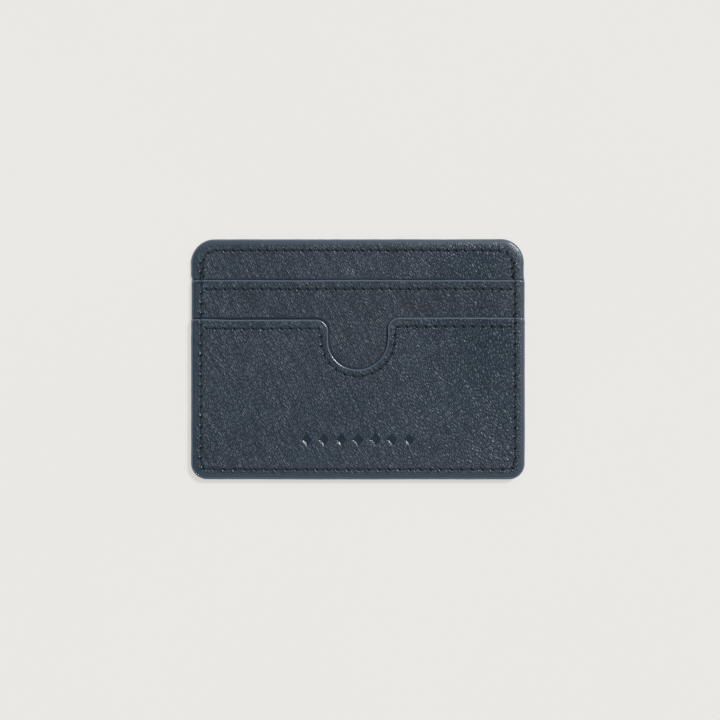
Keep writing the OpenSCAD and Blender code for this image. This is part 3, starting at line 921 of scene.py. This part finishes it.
def stitching(name, runs, material, replaced):
    """One seam's thread. runs are (seam, layer of a point, face height, facing, proud) of its two sides."""
    points, faces, count = [], [], 0
    for seam, layer_at, face, facing, proud in runs:
        shift = SLIT_SHIFT * seam.slant
        starts, ends = seam.holes[:-1] + shift[:-1], seam.holes[1:] - shift[1:]
        for a, b in zip(starts, ends):
            wander = rng.normal(0, WANDER, 4)
            line = stitch_line(a + wander[:2], b + wander[2:], layer_at(a), face, facing, proud)
            tube, tube_faces = twisted_tube(line, rng.uniform(0, 6.3))
            points.append(tube)
            faces += [[count + v for v in f] for f in tube_faces]
            count += len(tube)
    return make_piece(name, np.concatenate(points), faces, material, replaced)


def layer_on_top(point):
    """The uppermost sheet at a point in plan."""
    if LOWER.depth(*point[:, None])[0] > 0:
        return POCKET_B
    return POCKET_A if UPPER.depth(*point[:, None])[0] > 0 else FRONT


def all_stitching(material):
    """Every seam, with a stitch between neighbouring holes on both of its sides."""
    def one(layer):
        return lambda point: layer

    def show(layer, facing=1):
        return lambda x, y: sheet_face(layer, x, y, facing)

    def flat(height):
        return lambda x, y: height + 0 * x

    def behind(layer):
        return lambda x, y: layer.lining_back + lift(layer, x, y) + THREAD_R

    perimeter, top, floor = SEAMS["perimeter"], SEAMS["top"], floor_seam()
    stitching("perimeter_stitches", [
        (perimeter, layer_on_top, top_face, 1, PROUD),
        (perimeter, one(BACK), show(BACK, -1), -1, 0),
    ], material, ["perimeter_thread"])
    stitching("front_wall_top_stitches", [
        (top, one(FRONT), show(FRONT), 1, PROUD), (top, one(FRONT), behind(FRONT), -1, 0),
    ], material, ["front_wall_top_thread"])
    stitching("back_wall_top_stitches", [
        (top, one(BACK), show(BACK, -1), -1, 0),
        (top, one(BACK), flat(BACK.lining_front - THREAD_R), 1, 0),
    ], material, ["back_wall_top_thread"])
    for layer, name in ((POCKET_A, "upper_mouth"), (POCKET_B, "lower_mouth")):
        stitching("front_" + name + "_stitches", [
            (SEAMS[name], one(layer), show(layer), 1, PROUD),
            (SEAMS[name], one(layer), behind(layer), -1, 0),
        ], material, ["front_" + name + "_thread"])
    stitching("upper_slot_floor_stitches", [
        (floor, one(POCKET_A), flat(POCKET_A.front - THREAD_R), 1, 0),
        (floor, one(FRONT), flat(FRONT.back + THREAD_R), -1, 0),
    ], material, ["upper_slot_floor_thread"])


# -------- materials


class Shader:
    """Short calls for building a node material."""

    def __init__(self, name):
        self.material = bpy.data.materials.new(name)
        self.material.use_nodes = True
        self.tree = self.material.node_tree
        self.surface = self.tree.nodes["Principled BSDF"]

    def add(self, kind, **inputs):
        node = self.tree.nodes.new("ShaderNode" + kind)
        for key, value in inputs.items():
            self.put(node, key.replace("_", " "), value)
        return node

    def put(self, node, key, value):
        socket = node.inputs[int(key)] if key.isdigit() else node.inputs[key]
        if isinstance(value, bpy.types.NodeSocket):
            self.tree.links.new(value, socket)
        else:
            socket.default_value = value

    def attribute(self, name):
        node = self.add("Attribute")
        node.attribute_name = name
        return node.outputs["Fac"]

    def place(self):
        """Object coordinates in millimetres."""
        return self.stretch(self.add("TexCoord").outputs["Object"], (MM, MM, MM), 0.0)

    def stretch(self, vector, scale, turn):
        """Coordinates turned about Z, and as long on each axis as that scale."""
        node = self.add("Mapping", Vector=vector, Rotation=(0, 0, turn), Scale=scale)
        node.vector_type = "TEXTURE"
        return node.outputs["Vector"]

    def warp(self, where, size, reach):
        """Coordinates pushed about by soft noise."""
        colour = self.add("TexNoise", Vector=where, Scale=1 / size, Detail=1.0).outputs["Color"]
        return self.math("MULTIPLY_ADD", colour, (reach, reach, 0), where, kind="VectorMath")

    def cells(self, where, feature, output):
        node = self.add("TexVoronoi", Vector=where, Scale=1.0)
        node.voronoi_dimensions = "2D"
        node.feature = feature
        return node.outputs[output]

    def noise(self, where, scale=1.0, detail=2.0, rough=0.5):
        return self.add("TexNoise", Vector=where, Scale=scale, Detail=detail, Roughness=rough).outputs["Fac"]

    def ramp(self, value, low, high, to_low=0.0, to_high=1.0):
        return self.add("MapRange", Value=value, From_Min=low, From_Max=high,
                        To_Min=to_low, To_Max=to_high).outputs["Result"]

    def math(self, operation, *values, kind="Math"):
        node = self.add(kind)
        node.operation = operation
        for k, value in enumerate(values):
            self.put(node, str(k), value)
        return node.outputs[0]

    def mix(self, share, a, b):
        node = self.add("Mix")
        node.data_type = "RGBA"
        self.put(node, "0", share)
        self.put(node, "6", a)
        self.put(node, "7", b)
        return node.outputs[2]

    def bump(self, height, distance_mm, strength=1.0, before=None):
        node = self.add("Bump", Height=height, Strength=strength, Distance=distance_mm * MM)
        if before is not None:
            self.put(node, "Normal", before)
        return node.outputs["Normal"]

    def finish(self, **inputs):
        for key, value in inputs.items():
            self.put(self.surface, key.replace("_", " "), value)
        return self.material


def rgb(r, g, b):
    return (r, g, b, 1.0)


# The leather's colours: pebbles, painted crease shade, crests lighter from rub wear and a painted highlight,
# the border, and painted seam, slit and mouth-crevice shade that also darkens the pressed lozenges
CROWN_LOW = rgb(0.016, 0.034, 0.057)
CROWN_HIGH = rgb(0.022, 0.042, 0.064)
CROWN_PALE = rgb(0.031, 0.056, 0.083)
CREASE_SHADE = rgb(0.006, 0.014, 0.024)
RUBBED_AND_HIGHLIT = rgb(0.052, 0.080, 0.108)
BORDER = rgb(0.038, 0.060, 0.085)
DEEP_SHADE_AND_TONE = rgb(0.002, 0.006, 0.013)
LEATHER_SPECULAR = 0.38
LONG_CREASE = (7.0, 0.95, 1.0)  # length and width of the long creases
LONG_CREST = (7.5, 1.1, 1.0)  # and of the crests between them


def leather_material():
    """Pebbles drawn out one way, with long creases, painted shade in the creases and crests lighter from rub
    wear and a painted highlight, toned by the LOOKS.
    """
    s = Shader("navy_leather")
    grain, dark, polish, pale = (s.attribute(key) for key in LOOKS)
    place = s.place()
    warped = s.warp(s.warp(place, 26.0, 3.0), 2.2, 0.8)
    pebble = s.stretch(warped, (PEBBLE_L, PEBBLE_W, 1.0), PEBBLE_ANGLE)
    crown = s.ramp(s.cells(pebble, "DISTANCE_TO_EDGE", "Distance"), 0.0, 0.30)
    level = s.ramp(s.cells(pebble, "F1", "Color"), 0.0, 1.0, 0.45, 1.0)
    wrinkle = s.noise(pebble, 2.4, 3.0, 0.6)
    long_creases = s.noise(s.stretch(warped, LONG_CREASE, PEBBLE_ANGLE), 1.0, 1.0)
    height = s.math("MULTIPLY_ADD", wrinkle, 0.22, s.math("MULTIPLY", crown, level))
    height = s.math("MULTIPLY_ADD", s.ramp(long_creases, 0.32, 0.68, -0.5, 0.5), 0.5, height)
    drawn = s.noise(s.stretch(warped, LONG_CREST, PEBBLE_ANGLE), 1.0, 2.0)
    crest = s.ramp(s.math("ABSOLUTE", s.math("SUBTRACT", drawn, 0.5)), 0.0, 0.09, 1.0, 0.0)
    chain = s.math("MULTIPLY", crest, s.ramp(crown, 0.0, 0.8))
    height = s.math("MULTIPLY_ADD", chain, s.ramp(grain, 0.6, 1.0, 0.0, 0.5), height)
    cloudy = s.noise(place, 0.10, 3.0)
    mottle = s.noise(place, 0.9, 2.0)
    tone = s.mix(s.ramp(cloudy, 0.3, 0.7), CROWN_LOW, CROWN_HIGH)
    tone = s.mix(s.ramp(mottle, 0.35, 0.65, 0, 0.5), tone, CROWN_PALE)
    # Painted shade in the creases: the low points of the grain are darkened in colour
    crease_shade_share = s.math("MULTIPLY", s.ramp(height, 0.75, 0.15), s.ramp(grain, 0.0, 0.4))
    colour = s.mix(crease_shade_share, tone, CREASE_SHADE)
    # Lighter crests: rub wear and a painted highlight, stronger towards the right
    colour = s.mix(s.math("MULTIPLY", chain, s.ramp(grain, 0.6, 1.0, 0.0, 0.8)), colour, RUBBED_AND_HIGHLIT)
    colour = s.mix(pale, colour, BORDER)
    # Painted shade in the mouth crevices, seam furrows and needle slits, and the darker pressed lozenges and
    # upper pocket
    colour = s.mix(s.ramp(dark, 0.1, 0.9), colour, DEEP_SHADE_AND_TONE)
    rough = s.math("ADD", s.ramp(height, 0.1, 0.9, 0.62, 0.36), s.ramp(mottle, 0.3, 0.7, -0.03, 0.05))
    rough = s.math("MULTIPLY", rough, s.ramp(polish, 0.0, 0.7, 1.0, 0.42))
    rough = s.math("ADD", rough, s.ramp(dark, 0.5, 0.7, 0.0, 0.4))
    normal = s.bump(s.math("MULTIPLY", height, grain), GRAIN_HEIGHT, 1.0)
    return s.finish(Base_Color=colour, Roughness=rough, Normal=normal, Specular_IOR_Level=LEATHER_SPECULAR)


def paint_material():
    """Brushed-on edge paint: glossy, and a little uneven."""
    s = Shader("navy_edge_paint")
    streaks = s.noise(s.place(), 0.35, 3.0)
    lumps = s.noise(s.place(), 1.6, 2.0)
    colour = s.mix(s.ramp(streaks, 0.3, 0.7), rgb(0.080, 0.118, 0.157), rgb(0.100, 0.141, 0.184))
    rough = s.ramp(lumps, 0.3, 0.7, 0.15, 0.24)
    normal = s.bump(lumps, 0.05, 0.3)
    return s.finish(Base_Color=colour, Roughness=rough, Normal=normal, Specular_IOR_Level=0.7)


def thread_material():
    """Dark bonded thread with fine fibres along it."""
    s = Shader("navy_thread")
    fibres = s.noise(s.stretch(s.place(), (1, 0.35, 1), 0.0), 9.0, 3.0)
    colour = s.mix(s.ramp(fibres, 0.3, 0.7), rgb(0.004, 0.006, 0.010), rgb(0.011, 0.016, 0.024))
    return s.finish(Base_Color=colour, Roughness=s.ramp(fibres, 0.3, 0.7, 0.5, 0.65),
                    Normal=s.bump(fibres, 0.03, 0.7))


def woven_material(name, dark, light, pitch_mm):
    """A plain weave of threads at that pitch."""
    s = Shader(name)
    place = s.place()
    waves = []
    for axis in ("X", "Y"):
        wave = s.add("TexWave", Vector=place, Scale=0.314 / pitch_mm, Distortion=0.4)
        wave.bands_direction = axis
        waves.append(wave.outputs["Fac"])
    weave = s.math("MAXIMUM", *waves)
    fuzz = s.noise(place, 6.0, 3.0)
    share = s.math("MULTIPLY", s.ramp(weave, 0.2, 0.9), s.ramp(fuzz, 0.3, 0.7, 0.5, 1.0))
    colour = s.mix(share, rgb(*dark), rgb(*light))
    return s.finish(Base_Color=colour, Roughness=s.ramp(fuzz, 0.3, 0.7, 0.75, 0.9),
                    Normal=s.bump(weave, 0.05, 0.8))


def floor_material():
    """A pale floor, which gives off part of its own light, so that it comes out bright and even."""
    s = Shader("pale_floor")
    tone = s.noise(s.place(), 0.01, 2.0)
    colour = s.mix(tone, rgb(0.235, 0.232, 0.224), rgb(0.245, 0.242, 0.234))
    return s.finish(Base_Color=colour, Roughness=0.9, Specular_IOR_Level=0.1,
                    Emission_Color=rgb(0.59, 0.583, 0.561), Emission_Strength=1.0)


# -------- the piece list

leather = leather_material()
paint = paint_material()
thread = thread_material()
lining = woven_material("lining_weave", (0.010, 0.012, 0.017), (0.035, 0.042, 0.055), 0.30)
tape = woven_material("tape_fibre", (0.34, 0.32, 0.26), (0.58, 0.55, 0.47), 0.22)

for node, layer, facing in (("front_lower_pocket", POCKET_B, 1), ("front_upper_pocket", POCKET_A, 1),
                            ("front_wall", FRONT, 1), ("back_wall", BACK, -1)):
    leather_sheet(node, layer, leather, facing)
    thin_sheet(node + "_lining", layer, lining)

edge_paint(paint)
all_stitching(thread)

for node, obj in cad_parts.items():
    if node.endswith("_tape"):
        obj.data.materials.clear()
        obj.data.materials.append(tape)

# -------- floor, light and camera

FLOOR_HALF = 3.0
floor_mesh = bpy.data.meshes.new("floor")
corners = [((2 * i - 1) * FLOOR_HALF, (2 * j - 1) * FLOOR_HALF, 0) for i, j in CORNERS]
floor_mesh.from_pydata(corners, [], [(0, 1, 2, 3)])
floor = bpy.data.objects.new("floor", floor_mesh)
floor.data.materials.append(floor_material())
scene.collection.objects.link(floor)


def sun(name, strength, softness_deg, azimuth_deg, elevation_deg):
    """A soft distant light that comes from that azimuth (0 is +X) and height."""
    data = bpy.data.lights.new(name, "SUN")
    data.energy = strength
    data.angle = np.radians(softness_deg)
    light = bpy.data.objects.new(name, data)
    a, e = np.radians((azimuth_deg, elevation_deg))
    light.rotation_euler = (np.pi / 2 - e, 0, a + np.pi / 2)
    scene.collection.objects.link(light)


SKY = 0.30  # strength of the even light from all round
sun("key", strength=2.35, softness_deg=13, azimuth_deg=44, elevation_deg=60)
world = bpy.data.worlds.new("studio")
world.use_nodes = True
background = world.node_tree.nodes["Background"].inputs
background["Color"].default_value = rgb(1.0, 1.0, 1.0)
background["Strength"].default_value = SKY
scene.world = world
scene.view_settings.view_transform = "Standard"

LENS_MM = 85
SENSOR_MM = 36
VIEW_WIDTH = 215.4  # what the frame takes in at the holder's face
VIEW_CENTRE = (0.60, -0.26)
camera_data = bpy.data.cameras.new("camera")
camera_data.lens = LENS_MM
camera_data.sensor_width = SENSOR_MM
camera_data.clip_start = 0.01
camera = bpy.data.objects.new("camera", camera_data)
camera.location = np.array((*VIEW_CENTRE, BODY_T + VIEW_WIDTH * LENS_MM / SENSOR_MM)) * MM
scene.collection.objects.link(camera)
scene.camera = camera
